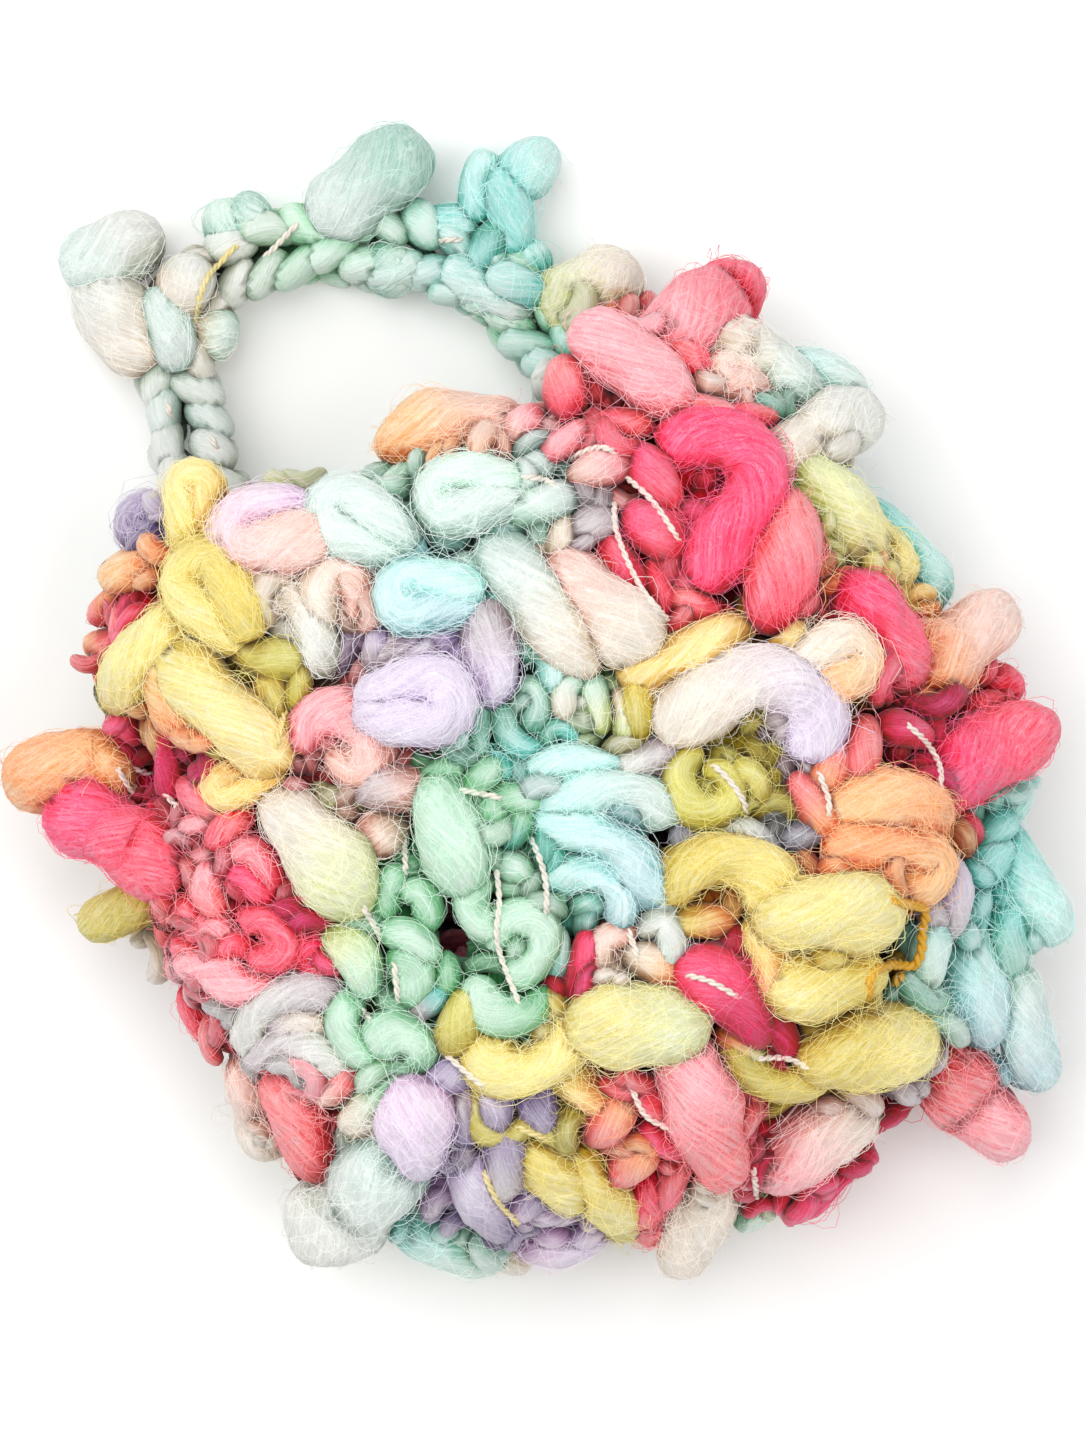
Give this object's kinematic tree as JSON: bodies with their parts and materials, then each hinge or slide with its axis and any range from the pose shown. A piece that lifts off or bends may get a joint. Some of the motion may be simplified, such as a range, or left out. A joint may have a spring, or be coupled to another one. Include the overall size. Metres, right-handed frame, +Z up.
{
  "type": "crochet earbud pouch",
  "caption": "Small soft crochet pouch of fluffy thick-and-thin yarn for an earbud case, open at the top, with a short finger strap over the mouth.",
  "frame": {"origin": "on the surface that the pouch lies on, under the middle of the bag, at the foot of a puff of the back", "axes": "+Z up from the surface, +Y towards the mouth and the strap, +X across the bag"},
  "size_m": [0.1207, 0.1452, 0.0449],
  "materials": {
    "pouch_yarn": "matte slub yarn in many soft dyes",
    "strap_yarn": "matte slub yarn, pale aqua and cream"
  },
  "bodies": {
    "root": {"pouch_bag": "pouch_yarn", "finger_strap": "strap_yarn"}
  },
  "joints": []
}
